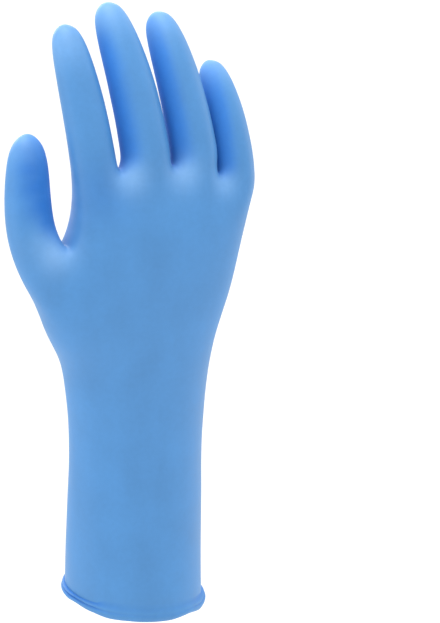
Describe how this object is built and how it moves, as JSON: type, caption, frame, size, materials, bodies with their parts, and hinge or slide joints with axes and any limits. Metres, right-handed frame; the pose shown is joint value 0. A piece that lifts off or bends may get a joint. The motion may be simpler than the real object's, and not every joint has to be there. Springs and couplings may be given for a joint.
{
  "type": "nitrile exam glove",
  "caption": "Close-fitting dipped nitrile glove with a long cuff, hollow and open at a rolled bead, shaped as worn with the fingers up, to keep the hand and wrist clean.",
  "frame": {"origin": "centre of the open mouth of the cuff, level with the rolled bead's lower edge, where the wrist and forearm go in", "axes": "+Z from the mouth along the forearm to the fingertips, -Y faces the back of the hand, -X is the thumb side and +X the little finger side"},
  "size_m": [0.1279, 0.0704, 0.308],
  "materials": {
    "nitrile": "soft satin, light blue"
  },
  "bodies": {
    "root": {"GLOVE_FILM": "nitrile"}
  },
  "joints": []
}
